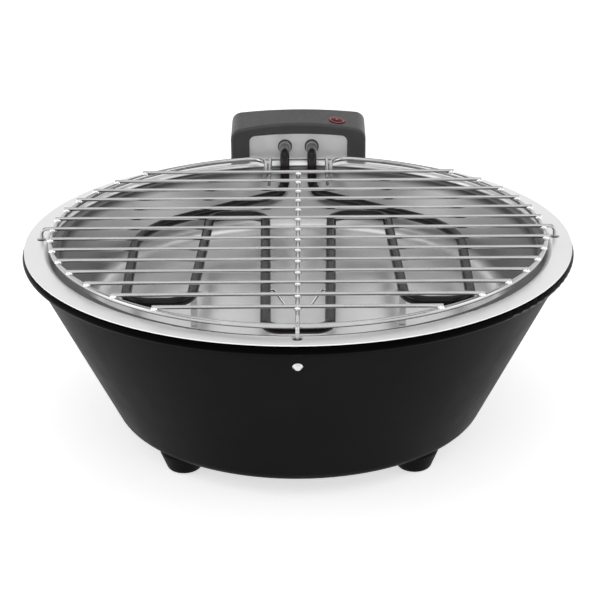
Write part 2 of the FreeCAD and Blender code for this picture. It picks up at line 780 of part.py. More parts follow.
def make_element():
    """Sheathed heating tube: two legs, two shoulders and five loops in one plane."""
    flat = value(ELEMENT_HEIGHT)
    high = value(LEG_HEIGHT)

    def at(across, along, height=flat):
        return Vector(value(across), value(along), height)
    half = [(at("leg_offset", TUBE_END, high), None),
            (at("leg_offset", "leg_front", high), "leg_bend"),
            (at("leg_offset", "leg_front"), "leg_bend"),
            (at("outer_back", "shoulder"), "shoulder_bend"),
            (at("outer_front", "-(outer_loop_front)"), "outer_bend"),
            (at("inner_front", "-(outer_loop_front)"), "outer_bend"),
            (at("inner_back", "inner_loop_back"), "inner_bend"),
            (at("centre_back", "inner_loop_back"), "inner_bend"),
            (at("centre_front", "-(centre_loop_front)"), "centre_bend")]
    other = [(Vector(-point.x, point.y, point.z), bend) for point, bend in reversed(half)]
    whole = half + other
    bends = [value(bend) for _, bend in whole[1:-1]]
    path = rounded_path([point for point, _ in whole], bends)
    return node(swept("heating_element", path, "tube"), "heating_element")


def make_support(label, side):
    """A T-shaped bracket that carries an inner leg above the pan's floor."""
    body = new_body(label)
    sketch = sketch_on(body, label + "_outline", "XZ_Plane", "-(support_depth / 2)")
    foot = f"({FLOOR_HEIGHT} + foot_gap)"
    under = f"({ELEMENT_HEIGHT} - tube / 2 - support_gauge)"
    top = f"({under} + 2 * support_gauge)"
    stem = "(support_stem / 2)"
    polygon(sketch, [(f"-{stem}", foot), (stem, foot), (stem, under), ("support_half", under),
                     ("support_half", top), ("-(support_half)", top), ("-(support_half)", under),
                     (f"-{stem}", under)])
    pad(body, sketch, label + "_pad", "support_depth")
    groove = sketch_on(body, label + "_saddle", "XZ_Plane", "-(support_depth)")
    circle(groove, "0", ELEMENT_HEIGHT, "tube + 2 * support_play")
    pocket(body, groove, label + "_saddle_cut", "2 * support_depth", reverse=True)
    lean = math.degrees(math.atan(value("inner_lean")))
    place = Vector(side * value("support_across"), -value("support_place"), 0)
    body.Placement = Placement(place, Rotation(UP, side * lean))
    return node(body, label)


def make_hood_blank(body):
    """The hood as a solid: a crowned section drawn up towards the back, then sloped down."""
    front = sketch_on(body, "hood_front", "XZ_Plane", "-(box_front)")
    crowned(front, "front_half", f"({BOX_LOW} - 2 * overrun)", "(rim_height + front_side)",
            "(rim_height + front_crown)")
    drawn = body.newObject("PartDesign::Pad", "hood_drawn")
    drawn.Profile = front
    drawn.UseCustomVector = True
    drawn.Direction = Vector(0, value("cos(top_slope)"), value("sin(top_slope)"))
    drawn.AlongSketchNormal = True
    bind(drawn, "Length", "box_back - box_front")
    doc.recompute()

    def shoulder(edge):
        box = edge.BoundBox
        return box.YLength > value("box_shoulder") and box.ZMin > value(BASE_TOP)
    round_edges(body, drawn, "hood_shoulders", "box_shoulder", shoulder)

    slope = sketch_on(body, "hood_slope", "YZ_Plane")
    over = f"({CREST} + overrun * {BACK_SLOPE})"
    polygon(slope, [("crest_place - overrun", over),
                    ("box_back + overrun", f"({BACK_TOP} - overrun * {BACK_SLOPE})"),
                    ("box_back + overrun", over)])
    through_cut(body, slope, "hood_slope_cut")
    below = sketch_on(body, "hood_below", "YZ_Plane")
    polygon(below, [("box_front - overrun", f"({BOX_LOW} - 4 * overrun)"),
                    ("box_back + overrun", f"({BOX_LOW} - 4 * overrun)"),
                    ("box_back + overrun", BOX_LOW), ("box_front - overrun", BOX_LOW)])
    return through_cut(body, below, "hood_below_cut")


def same_edges(shape, picked):
    """A test for the edges that a later feature keeps of those that a test picks now."""
    middles = [edge.CenterOfMass for edge in shape.Edges if picked(edge)]

    def kept(edge):
        return any(edge.CenterOfMass.isEqual(middle, value("screw_play")) for middle in middles)
    return kept


def through_cut(body, sketch, name):
    """Cuts a side outline through the whole width of the box."""
    cut = body.newObject("PartDesign::Pocket", name)
    cut.Profile = sketch
    cut.SideType = "Symmetric"
    bind(cut, "Length", "2 * (front_half + overrun)")
    doc.recompute()
    return cut


def make_housing():
    """Moulded hood of the control box, open below and in front of the heat shield."""
    body = new_body("control_housing")
    solid = make_hood_blank(body)
    low = value(BOX_LOW)
    bottom = [f"Face{number}" for number, face in enumerate(solid.Shape.Faces, 1)
              if math.isclose(face.BoundBox.ZMax, low, rel_tol=1e-6)]
    shell = body.newObject("PartDesign::Thickness", "hood_shell")
    shell.Base = (solid, bottom)
    shell.Reversed = True
    bind(shell, "Value", "box_wall")
    doc.recompute()

    def crest(edge):
        box = edge.BoundBox
        return box.YMin > value("crest_place - box_shoulder") and \
            box.YMax < value("box_back - box_edge") and box.ZMin > value(BACK_TOP)

    def end_rim(edge):
        box = edge.BoundBox
        at_end = box.YMax < value("box_front + screw_play") or \
            box.YMin > value("box_back - screw_play")
        return at_end and box.ZMax > value(BASE_TOP)
    outer_crest = same_edges(solid.Shape, crest)
    crested = round_edges(body, shell, "hood_crest", "box_crest", outer_crest)
    outer_rims = same_edges(solid.Shape, end_rim)
    round_edges(body, crested, "hood_rims", "box_edge", outer_rims)

    opening = sketch_on(body, "hood_opening", "XZ_Plane", "-(box_front - overrun)")
    crowned(opening, "opening_half", f"({BOX_LOW} - overrun)", "(rim_height + opening_side)",
            "(rim_height + opening_crown)")
    cut = pocket(body, opening, "hood_opening_cut", "overrun + box_wall + shield_gauge")

    def opening_corner(edge):
        box = edge.BoundBox
        return math.isclose(abs(box.XMin), value("opening_half"), rel_tol=1e-6) and \
            box.YMax < value(SHIELD_BACK) and box.YLength > value("box_wall / 2") and \
            box.ZMin > value(BASE_TOP)
    round_edges(body, cut, "hood_opening_corners", "opening_corner", opening_corner)

    front_run = "(front_side + (boss_front - box_front) * tan(top_slope) + box_wall / 4)"
    back_run = f"(({BACK_TOP} - rim_height) + (box_back - boss_back - boss_across / 2) * " \
        f"{BACK_SLOPE} - box_wall / 4)"
    for name, along, run in (("front", "boss_front", front_run), ("back", "boss_back", back_run)):
        bosses = sketch_on(body, f"hood_{name}_bosses", "XY_Plane", BASE_TOP)
        pilots = sketch_on(body, f"hood_{name}_pilots", "XY_Plane", f"{BASE_TOP} - overrun")
        for across in ("boss_offset", "-(boss_offset)"):
            circle(bosses, across, along, "boss_across")
            circle(pilots, across, along, "box_screw + 2 * screw_play")
        pad(body, bosses, f"hood_{name}_boss_pads", f"{run} - box_seat - box_wall")
        pocket(body, pilots, f"hood_{name}_pilot_holes", "overrun + box_screw_reach",
               reverse=True)

    inlet = sketch_on(body, "hood_inlet", "XZ_Plane", "-(box_back + overrun)")
    circle(inlet, "-(inlet_side)", f"({BASE_TOP} + inlet_rise)", "inlet_hole")
    pocket(body, inlet, "hood_inlet_hole", "overrun + 2 * box_wall", reverse=True)
    lamp = sketch_on(body, "hood_lamp", "XY_Plane", f"{CREST} + overrun")
    circle(lamp, "lamp_side", "lamp_place", "lamp_across + 2 * lamp_play")
    pocket(body, lamp, "hood_lamp_hole",
           f"{CREST} + overrun + box_wall - rim_height - shield_crown")
    return node(body, "control_housing")


def make_housing_base():
    """Plate under the box, with a skirt that reaches down behind the bowl's lip."""
    body = new_body("housing_base")
    plate = sketch_on(body, "base_outline", "XY_Plane", BOX_LOW)
    back = "(box_back - box_wall - base_play)"
    half = "(front_half - box_wall - base_play)"
    polygon(plate, [(f"-{half}", SHIELD_BACK), (half, SHIELD_BACK), (half, back),
                    (f"-{half}", back)])
    pad(body, plate, "base_plate", "box_wall")
    skirt = sketch_on(body, "base_skirt", "XY_Plane", f"{BOX_LOW} - skirt_drop")
    near = "(lip_radius + skirt_gap)"
    far = f"({near} + skirt_gauge)"
    polygon(skirt, [("-(skirt_half)", near), ("skirt_half", near), ("skirt_half", far),
                    ("-(skirt_half)", far)])
    pad(body, skirt, "base_skirt_pad", "skirt_drop + box_wall / 2")
    holes = sketch_on(body, "base_holes", "XY_Plane", f"{BOX_LOW} - overrun")
    for across in ("boss_offset", "-(boss_offset)"):
        circle(holes, across, "boss_front", "box_screw + 2 * screw_play")
        circle(holes, across, "boss_back", "box_screw + 2 * screw_play")
    pocket(body, holes, "base_screw_holes", "overrun + 2 * box_wall", reverse=True)
    return node(body, "housing_base")


def make_housing_screws():
    """Four screws from below, through the base into the hood's bosses."""
    form = new_body("box_screw_form")
    sketch = sketch_on(form, "box_screw_profile", "XZ_Plane")
    tip = f"({BASE_TOP} + box_screw_reach - screw_play)"
    head = f"({BOX_LOW} - box_screw_rise)"
    polygon(sketch, [("0", head), ("box_screw_head / 2", head), ("box_screw_head / 2", BOX_LOW),
                     ("box_screw / 2", BOX_LOW), ("box_screw / 2", tip), ("0", tip)])
    turned = revolve(form, sketch, "box_screw_turned")
    round_edges(form, turned, "box_screw_round", "box_screw_rise / 2",
                circle_at("box_screw_head / 2", head))
    across = value("boss_offset")
    spread("housing_screws", form,
           [Placement(Vector(side * across, value(along), 0), Rotation())
            for side in (1, -1) for along in ("boss_front", "boss_back")])


def make_shield():
    """Bright plate behind the box's opening, holed for the element's legs."""
    body = new_body("heat_shield")
    plate = sketch_on(body, "shield_outline", "XZ_Plane", f"-{SHIELD_FRONT}")
    crowned(plate, "shield_half", f"({BOX_LOW} + box_seat)", "(rim_height + shield_side)",
            "(rim_height + shield_crown)")
    pad(body, plate, "shield_plate", "shield_gauge", reverse=True)
    holes = sketch_on(body, "shield_holes", "XZ_Plane", f"-({SHIELD_FRONT} - overrun)")
    for across in ("leg_offset", "-(leg_offset)"):
        circle(holes, across, LEG_HEIGHT, "tube + 2 * tube_play")
    pocket(body, holes, "shield_leg_holes", "2 * overrun")
    return node(body, "heat_shield")


def turned_on_leg(label, side, profile):
    """A turned piece on one of the element's legs; heights of its profile run towards the back."""
    body = new_body(label)
    sketch = sketch_on(body, label + "_profile", "XZ_Plane")
    polygon(sketch, profile)
    revolve(body, sketch, label + "_turned")
    body.Placement = Placement(Vector(side * value("leg_offset"), 0, value(LEG_HEIGHT)),
                               Rotation(ACROSS, -90))
    return node(body, label)


def make_leg_pieces(name, side):
    """Collar in front of the shield, then the ceramic bead and the pin at the tube's end."""
    bore = "(tube / 2 + tube_play)"
    front = f"({SHIELD_FRONT} - collar_length)"
    flange = f"({SHIELD_FRONT} - collar_flange)"
    turned_on_leg("element_collar_" + name, side, [
        (bore, front), ("collar_neck / 2", front), ("collar_neck / 2", flange),
        ("collar_across / 2", flange), ("collar_across / 2", SHIELD_FRONT), (bore, SHIELD_FRONT)])
    hole = "(pin_across / 2 + pin_play)"
    bead_end = f"({TUBE_END} + bead_length)"
    turned_on_leg("terminal_bead_" + name, side, [
        (hole, TUBE_END), ("bead_across / 2", TUBE_END), ("bead_across / 2", bead_end),
        (hole, bead_end)])
    turned_on_leg("terminal_pin_" + name, side, [
        ("0", TUBE_END), ("pin_across / 2", TUBE_END), ("pin_across / 2", PIN_END),
        ("0", PIN_END)])


def make_terminal_block():
    """Two-pole block on the base, under the neutral lead."""
    block = doc.addObject("Part::Box", "terminal_block")
    bind(block, "Length", "block_width")
    bind(block, "Width", "block_depth")
    bind(block, "Height", "block_rise")
    block.Placement = Placement(
        Vector(-value("block_place + block_width / 2"),
               value(f"{PIN_END} + lead_reach - block_depth / 2"), value(BASE_TOP)), Rotation())
    return node(block, "terminal_block")


def make_cutout():
    """Disc thermal cut-out on the base, under the link lead."""
    body = new_body("thermal_cutout")
    sketch = sketch_on(body, "cutout_profile", "XZ_Plane")
    polygon(sketch, [("0", "0"), ("cutout_across / 2", "0"),
                     ("cutout_across / 2", "cutout_skirt_rise"),
                     ("cutout_neck / 2", "cutout_skirt_rise"), ("cutout_neck / 2", "block_rise"),
                     ("0", "block_rise")])
    revolve(body, sketch, "cutout_turned")
    body.Placement = Placement(Vector(value("block_place"), value(f"{PIN_END} + lead_reach"),
                                      value(BASE_TOP)), Rotation())
    return node(body, "thermal_cutout")


def make_leads():
    """Leads from the two pins down to the block and the cut-out, and the link between these."""
    row = value(f"{PIN_END} + lead_reach")
    level = value(LEG_HEIGHT)
    top = value(f"{BASE_TOP} + block_rise")
    bends = [value("lead_bend")] * 2
    for label, side in (("neutral_lead", -1), ("live_lead", 1)):
        pin = side * value("leg_offset")
        drop = side * value("block_place")
        points = [Vector(pin, value(PIN_END), level), Vector(pin, row, level),
                  Vector(drop, row, level + value("lead_bend * lead_arch_share")),
                  Vector(drop, row, top)]
        node(swept(label, rounded_path(points, bends), "lead_across"), label)
    link = doc.addObject("Part::Cylinder", "link_lead")
    start = "(block_width / 2 - block_place)"
    bind(link, "Radius", "lead_across / 2")
    bind(link, "Height", f"block_place - cutout_across / 2 - {start}")
    link.Placement = Placement(Vector(value(start), row, value(f"{BASE_TOP} + link_rise")),
                               Rotation(UP, ACROSS))
    node(link, "link_lead")


def top_of(shape, across, along):
    """The highest point of a shape above a place on the table."""
    high = value(f"{CREST} + overrun")
    probe = Part.LineSegment(Vector(across, along, value(BASE_TOP)), Vector(across, along, high))
    return max(vertex.Z for vertex in probe.toShape().common(shape).Vertexes)


def make_lamp(housing):
    """Pilot lamp: a domed lens through the hood's top and its holder below."""
    place = value("lamp_side"), value("lamp_place")
    beside = value("lamp_across / 2 + lamp_play + screw_play")
    hood_top = max(top_of(housing.Shape, place[0] + step, place[1]) for step in (-beside, beside))
    seat = hood_top + value("lamp_proud - lens_length")
    lens = new_body("pilot_lens")
    sketch = sketch_on(lens, "lens_profile", "XZ_Plane")
    polygon(sketch, [("0", "-(lamp_lip_rise)"), ("lamp_lip / 2", "-(lamp_lip_rise)"),
                     ("lamp_lip / 2", "0"), ("lamp_across / 2", "0"),
                     ("lamp_across / 2", "lens_length"), ("0", "lens_length")])
    turned = revolve(lens, sketch, "lens_turned")
    round_edges(lens, turned, "lens_dome", "lamp_dome", circle_at("lamp_across / 2", "lens_length"))
    lens.Placement = Placement(Vector(*place, seat), Rotation())
    node(lens, "pilot_lens")
    holder = doc.addObject("Part::Cylinder", "lamp_holder")
    bind(holder, "Radius", "holder_across / 2")
    bind(holder, "Height", "holder_length")
    low = seat - value("lamp_lip_rise + holder_length")
    holder.Placement = Placement(Vector(*place, low), Rotation())
    node(holder, "lamp_holder")


def make_grommet():
    """Grommet in the back wall where the supply enters."""
    body = new_body("cord_grommet")
    sketch = sketch_on(body, "grommet_profile", "XZ_Plane")
    inner = "(box_back - box_wall - inlet_play)"
    outer = "(box_back + inlet_play)"
    bore, waist, flange = "inlet_bore / 2", "(inlet_hole / 2 - inlet_play)", "inlet_flange / 2"
    inner_end = f"({inner} - inlet_lip)"
    outer_end = f"({outer} + inlet_lip)"
    polygon(sketch, [(bore, inner_end), (flange, inner_end), (flange, inner), (waist, inner),
                     (waist, outer), (flange, outer), (flange, outer_end), (bore, outer_end)])
    revolve(body, sketch, "grommet_turned")
    body.Placement = Placement(Vector(-value("inlet_side"), 0, value(f"{BASE_TOP} + inlet_rise")),
                               Rotation(ACROSS, -90))
    return node(body, "cord_grommet")


def make_base():
    make_bowl()
    for name, angle in CLIP_ANGLES.items():
        make_clip("centring_clip_" + name, angle)
    make_rivets()
    for name, angle in FOOT_ANGLES.items():
        make_foot("foot_" + name, angle)
    make_foot_screws()


def make_heater_unit():
    housing = make_housing()
    make_housing_base()
    make_housing_screws()
    make_shield()
    make_element()
    for name, side in (("left", -1), ("right", 1)):
        make_leg_pieces(name, side)
        make_support("element_support_" + name, side)
    make_terminal_block()
    make_cutout()
    make_leads()
    make_lamp(housing)
    make_grommet()


def make_grid():
    make_grid_ring()
    for number in range(1, WIRE_COUNT + 1):
        if number == FOOT_WIRE_NUMBER:
            make_foot_wire()
        else:
            make_cross_wire(number)
    make_centre_rod()
    for name, side in (("left", -1), ("right", 1)):
        make_rear_stay("grid_rear_stay_" + name, side)


make_base()
make_drip_pan()
make_heater_unit()
make_grid()
doc.recompute()

failed = [item.Label for item in doc.Objects if {"Invalid", "Error"} & set(item.State)]
failed += [piece.Label for piece in nodes if piece.Shape.isNull() or not piece.Shape.isValid()]
if failed:
    raise RuntimeError("failed: " + ", ".join(failed))
os.makedirs("parts", exist_ok=True)
for piece in nodes:
    piece.Shape.exportStep(f"parts/{piece.Label}.step")
print(len(nodes), "sub-parts written")
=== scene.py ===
"""Looks for the round table-top electric barbecue: finishes, small details, light and camera."""
import json
import math

import bpy
from mathutils import Matrix, Vector


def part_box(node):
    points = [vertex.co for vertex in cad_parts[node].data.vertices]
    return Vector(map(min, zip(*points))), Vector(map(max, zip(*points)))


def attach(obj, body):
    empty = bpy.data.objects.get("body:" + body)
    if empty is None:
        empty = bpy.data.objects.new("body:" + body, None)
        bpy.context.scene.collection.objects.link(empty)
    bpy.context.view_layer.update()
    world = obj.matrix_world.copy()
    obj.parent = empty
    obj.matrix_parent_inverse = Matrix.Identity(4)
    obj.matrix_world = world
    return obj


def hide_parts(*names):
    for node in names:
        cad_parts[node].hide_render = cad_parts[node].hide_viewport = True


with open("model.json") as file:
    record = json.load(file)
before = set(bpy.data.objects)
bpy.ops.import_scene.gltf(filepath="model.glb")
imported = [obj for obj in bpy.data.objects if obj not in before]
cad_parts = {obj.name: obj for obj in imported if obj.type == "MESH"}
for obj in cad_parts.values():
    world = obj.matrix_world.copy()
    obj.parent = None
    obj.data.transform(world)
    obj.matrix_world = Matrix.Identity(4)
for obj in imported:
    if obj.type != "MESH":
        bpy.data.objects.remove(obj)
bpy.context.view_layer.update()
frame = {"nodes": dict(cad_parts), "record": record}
scene = bpy.context.scene
scene.view_settings.view_transform = "Standard"

# Heights and places on the solids, in metres: where the painted shade of the bowl's lip begins, a
# little below the lip, the pan's floor and the ledge of its flange, how far out the grid's feet
# stand, and the axis of one collar.
LIP_SHADE_FOOT = 0.1186
PAN_FLOOR = 0.0885
PAN_STEP = 0.1225
FOOT_SPOT = 0.164
LEG_SPOT = (0.0096, 0, 0.1375)
CROSS_WIRES = 14

# The weld: a ball, the height it is cut at, and how it is drawn out at its foot and as a whole.
WELD_RADIUS = 0.0019
WELD_CUT = -0.0009
WELD_FOOT = (1.2, 1.12, 1)
WELD_DRAWN = (1.15, 0.95, 0.85)
ROD_SINK = 0.0002

# The hood's slopes where the lens lies, backwards and to the right, and the lens itself. Each step
# of its dome is an inset and a rise.
HOOD_RISE = 0.105
HOOD_CROWN = -0.143
LENS_SEAT = 0.15407
LENS_REACH = 0.0059
LENS_THICK = 0.0030
LENS_SUNK = 0.0026
LENS_STEPS = ((0.0006, 0.00025), (0.0004, -0.0002), (0.0009, 0.0003), (0.0014, 0.0002),
              (0.0014, 0.0001))

# The wire spacer: its gauge, where it starts under the left leg, its run to the first bend, the
# radius of its bends, and the arm that slants inwards to the bar in the middle.
SPACER_WIRE = 0.0022
SPACER_START = (-0.0238, -0.0405, 0.1066)
SPACER_FOOT = 0.0073
SPACER_BEND = 0.0024
SPACER_ARM = (0.0062, -0.0220)
BEND_STEPS = 6

# The photograph's view: place in metres, turn in degrees (yaw, pitch, roll).
CAMERA_LENS = 110.88
CAMERA_SENSOR = 36.0
CAMERA_PLACE = (0.00508, -1.11203, 0.53142)
CAMERA_TURN = (0.212, 68.084, -0.449)

# The studio: the sky is white up to one height and dim from another, and the floor glows more far
# off, where no lamp reaches. Each lamp has a place, a size and a power.
HORIZON_TOP = 0.48
DIM_FROM = 0.72
OVERHEAD = 0.12
FILL = 0.5
FLOOR_SIZE = 8
FLOOR_GLOW = 0.65
FLOOR_NEAR = 0.6
FLOOR_FAR = 1.6
LAMP_AIM = (0, 0, 0.1)
LAMPS = {
    "top_box": ((0.0, 0.1, 1.8), (2.2, 1.6), 11),
    "left_box": ((-1.7, -0.3, 0.9), (1.0, 1.4), 5),
    "right_box": ((1.7, -0.3, 0.9), (1.0, 1.4), 4),
    "front_box": ((0.0, -1.4, 1.65), (2.4, 1.2), 9),
}


def new_finish(name, **sockets):
    """A material with one shader, its constant values set on the shader's own sockets."""
    material = bpy.data.materials.new(name)
    material.use_nodes = True
    shader = material.node_tree.nodes["Principled BSDF"]
    for label, setting in sockets.items():
        shader.inputs[label.replace("_", " ")].default_value = setting
    return material


def add_node(material, kind, **settings):
    """A node whose settings are links, values of its sockets, or its own options."""
    made = material.node_tree.nodes.new("ShaderNode" + kind)
    for label, setting in settings.items():
        if isinstance(setting, bpy.types.NodeSocket):
            material.node_tree.links.new(setting, made.inputs[label])
        elif label in made.inputs:
            made.inputs[label].default_value = setting
        else:
            setattr(made, label, setting)
    return made


def feed(material, label, output):
    """Links an output to one of the shader's sockets."""
    shader = material.node_tree.nodes["Principled BSDF"]
    material.node_tree.links.new(output, shader.inputs[label])


def place_on(material):
    """The piece's own coordinates, in metres."""
    return add_node(material, "TexCoord").outputs["Object"]


def speckle(material, scale, detail=4.0):
    """Soft noise over a piece, about one patch to each 1 / scale metres."""
    noise = add_node(material, "TexNoise", Vector=place_on(material), Scale=scale,
                     Detail=detail, Roughness=0.55)
    return noise.outputs["Fac"]


def span(material, factor, low, high, start=0.3, end=0.7):
    """A factor spread over a range of values."""
    spread = add_node(material, "MapRange", Value=factor)
    for socket, setting in (("From Min", start), ("From Max", end), ("To Min", low),
                            ("To Max", high)):
        spread.inputs[socket].default_value = setting
    return spread.outputs["Result"]


def shade(material, factor, stops):
    """A factor turned into colours; each stop is a place and a colour."""
    ramp = add_node(material, "ValToRGB", Fac=factor)
    elements = ramp.color_ramp.elements
    while len(elements) < len(stops):
        elements.new(0.5)
    for element, (place, colour) in zip(elements, stops):
        element.position = place
        element.color = (*colour, 1)
    return ramp.outputs["Color"]


def relief(material, height, strength, distance):
    """Unevenness of the surface, by a bump."""
    bump = add_node(material, "Bump", Height=height, Strength=strength, Distance=distance)
    feed(material, "Normal", bump.outputs["Normal"])


def grey(level, tint=(1, 1, 1)):
    """A grey, or a tint at that level."""
    return tuple(level * part for part in tint)


def height_of(material):
    """How far above the table a point of a piece is."""
    parts = add_node(material, "SeparateXYZ", Vector=place_on(material))
    return parts.outputs["Z"]


def between(material, factor, first, second, way="MIX"):
    """One value or colour turned into another by a factor."""
    blend = add_node(material, "MixRGB", blend_type=way, Fac=factor, Color1=first, Color2=second)
    return blend.outputs["Color"]


def moved(material, operation, place, change):
    """Places changed by one vector."""
    node = add_node(material, "VectorMath", operation=operation)
    material.node_tree.links.new(place, node.inputs[0])
    node.inputs[1].default_value = change
    return node.outputs["Vector"]


def apart(material, middle, keep, folded=False):
    """How far a point is from a middle, along the directions kept; a fold adds its mirror image."""
    point = place_on(material)
    if folded:
        mirrored = add_node(material, "VectorMath", operation="ABSOLUTE", Vector=point)
        point = mirrored.outputs["Vector"]
    offset = moved(material, "SUBTRACT", point, middle)
    kept = moved(material, "MULTIPLY", offset, keep)
    return add_node(material, "VectorMath", operation="LENGTH", Vector=kept).outputs["Value"]


def joined(material, operation, first, second):
    """Two factors made one."""
    both = add_node(material, "Math", operation=operation)
    material.node_tree.links.new(first, both.inputs[0])
    material.node_tree.links.new(second, both.inputs[1])
    return both.outputs[0]


def stoved_black():
    """Black paint: satin, with a fine orange peel; the lip and the fillet under it are painted
    shade.
    """
    finish = new_finish("stoved_black", Specular_IOR_Level=0.02)
    lip_shade_mask = span(finish, height_of(finish), 0.0, 1.0, LIP_SHADE_FOOT - 0.0008, LIP_SHADE_FOOT + 0.0004)
    cloud = speckle(finish, 14)
    wall = shade(finish, cloud, [(0.3, grey(0.012)), (0.7, grey(0.016))])
    # Painted shade: the bead is the wall's paint darkened to near black, on the lip and the fillet
    # below it.
    bead = shade(finish, cloud, [(0.3, grey(0.0008)), (0.7, grey(0.0012))])
    feed(finish, "Base Color", between(finish, lip_shade_mask, wall, bead))
    peel = speckle(finish, 60)
    satin = span(finish, peel, 0.36, 0.44)
    gloss = span(finish, peel, 0.30, 0.36)
    feed(finish, "Roughness", between(finish, lip_shade_mask, satin, gloss))
    relief(finish, speckle(finish, 900, detail=2), 0.04, 0.0004)
    return finish


def moulded_black(name, level, rough, shine=0.3):
    """Textured dark plastic."""
    finish = new_finish(name, Specular_IOR_Level=shine)
    cloud = speckle(finish, 40)
    feed(finish, "Base Color",
         shade(finish, cloud, [(0.3, grey(level * 0.85)), (0.7, grey(level * 1.15))]))
    feed(finish, "Roughness", span(finish, speckle(finish, 300), rough - 0.05, rough + 0.05))
    relief(finish, speckle(finish, 1800, detail=2), 0.18, 0.0003)
    return finish


def polished_pan():
    """Pressed steel: satin floor and flange; painted shade on the wall, darkest at its brow, and
    under the grid's feet.
    """
    finish = new_finish("polished_pan", Metallic=0.75)
    haze = speckle(finish, 12)
    height = height_of(finish)
    rise = span(finish, height, 0.0, 1.0, PAN_FLOOR, PAN_FLOOR + 0.006)
    fall = span(finish, height, 1.0, 0.0, PAN_STEP + 0.0018, PAN_STEP + 0.0026)
    wall = joined(finish, "MULTIPLY", rise, fall)
    brow = span(finish, height, 0.0, 1.0, PAN_STEP - 0.004, PAN_STEP)
    flat = shade(finish, haze, [(0.25, grey(0.88)), (0.75, grey(0.97))])
    # Painted shade: the wall is the same steel as the floor, made darker; the brow under the ledge
    # is darker still.
    wall_painted_shade = shade(finish, haze, [(0.3, grey(0.33)), (0.7, grey(0.39))])
    shaded = shade(finish, haze, [(0.3, grey(0.06)), (0.7, grey(0.09))])
    sheet = between(finish, wall, flat, between(finish, brow, wall_painted_shade, shaded))
    # Painted shade: dark spots where the grid's feet stand, in place of the shade in their dimples.
    sides = apart(finish, (FOOT_SPOT, 0, 0), (1, 1, 0), folded=True)
    front = apart(finish, (0, -FOOT_SPOT, 0), (1, 1, 0))
    near = joined(finish, "MINIMUM", sides, front)
    feet_shade_mask = span(finish, near, 1.0, 0.0, 0.0022, 0.0034)
    feet_painted_shade = shade(finish, haze, [(0.3, grey(0.025)), (0.7, grey(0.04))])
    feed(finish, "Base Color", between(finish, feet_shade_mask, sheet, feet_painted_shade))
    feed(finish, "Roughness", span(finish, haze, 0.29, 0.33))
    relief(finish, speckle(finish, 18, detail=0), 1.0, 0.0009)
    return finish


def bright_wire(name, level):
    """Chromed wire or weld with a faint unevenness of gloss."""
    finish = new_finish(name, Metallic=1.0)
    marks = speckle(finish, 60)
    feed(finish, "Base Color",
         shade(finish, marks, [(0.3, grey(level - 0.03)), (0.7, grey(level + 0.04))]))
    feed(finish, "Roughness", span(finish, marks, 0.15, 0.20))
    return finish


def heater_sheath():
    """Oxidised tube: near black, with brownish patches where it has been hottest."""
    finish = new_finish("heater_sheath", Specular_IOR_Level=0.24)
    patches = speckle(finish, 35)
    feed(finish, "Base Color", shade(finish, patches, [(0.4, (0.005, 0.004, 0.004)),
                                                       (0.75, (0.018, 0.010, 0.010))]))
    feed(finish, "Roughness", span(finish, speckle(finish, 220), 0.20, 0.28))
    relief(finish, speckle(finish, 700, detail=2), 0.05, 0.0003)
    return finish


def collar_steel():
    """A pressed collar, bright steel at its neck, its flange painted dark as shade."""
    finish = new_finish("collar_steel", Metallic=1.0)
    out = span(finish, apart(finish, LEG_SPOT, (1, 0, 1), folded=True), 0.0, 1.0, 0.0041, 0.0044)
    cloud = speckle(finish, 200)
    neck = shade(finish, cloud, [(0.3, grey(0.50)), (0.7, grey(0.60))])
    # Painted shade: the flange is the neck's steel darkened to near black.
    flange = shade(finish, cloud, [(0.3, grey(0.02)), (0.7, grey(0.035))])
    feed(finish, "Base Color", between(finish, out, neck, flange))
    feed(finish, "Roughness", span(finish, cloud, 0.35, 0.45))
    return finish


def plain_steel(name, level, rough, tint=(1, 1, 1), vary=0.1, dent=0.08):
    """Rolled or plated metal, faintly clouded."""
    finish = new_finish(name, Metallic=1.0)
    cloud = speckle(finish, 120)
    feed(finish, "Base Color", shade(finish, cloud, [(0.3, grey(level * (1 - vary), tint)),
                                                     (0.7, grey(level * (1 + vary), tint))]))
    feed(finish, "Roughness", span(finish, cloud, rough - 0.06, rough + 0.06))
    relief(finish, speckle(finish, 400), dent, 0.0003)
    return finish


def dull(name, light, dark, rough):
    """Plain moulded, glazed or sleeved pieces with a mottled colour."""
    finish = new_finish(name)
    feed(finish, "Base Color", shade(finish, speckle(finish, 150), [(0.3, dark), (0.7, light)]))
    feed(finish, "Roughness", span(finish, speckle(finish, 400), rough - 0.05, rough + 0.05))
    relief(finish, speckle(finish, 1200, detail=2), 0.1, 0.0003)
    return finish


def lamp_red():
    """Clear red moulding: dark red over the lamp's well, with a painted highlight in its middle and
    a painted reflection at its rim.
    """
    finish = new_finish("lamp_red", Transmission_Weight=0.1, IOR=1.49, Specular_IOR_Level=0.06)
    low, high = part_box("pilot_lens")
    middle = [(low[axis] + high[axis]) / 2 for axis in range(3)]
    reach = span(finish, apart(finish, middle, (1, 1, 0)), 0.0, 1.0, 0.0, LENS_REACH)
    # The pale middle is a painted highlight and the pale rim a painted reflection; the dark red
    # between is the lens's own colour.
    rings_and_painted_highlights = shade(finish, reach, [(0.0, (0.80, 0.45, 0.46)), (0.22, (0.11, 0.010, 0.013)),
                                  (0.66, (0.12, 0.012, 0.015)), (0.84, (0.52, 0.22, 0.23)),
                                  (0.97, (0.14, 0.015, 0.018))])
    cloud = shade(finish, speckle(finish, 260), [(0.3, grey(0.9)), (0.7, grey(1.0))])
    feed(finish, "Base Color", between(finish, 1.0, rings_and_painted_highlights, cloud, way="MULTIPLY"))
    feed(finish, "Roughness", span(finish, speckle(finish, 300), 0.22, 0.32))
    return finish


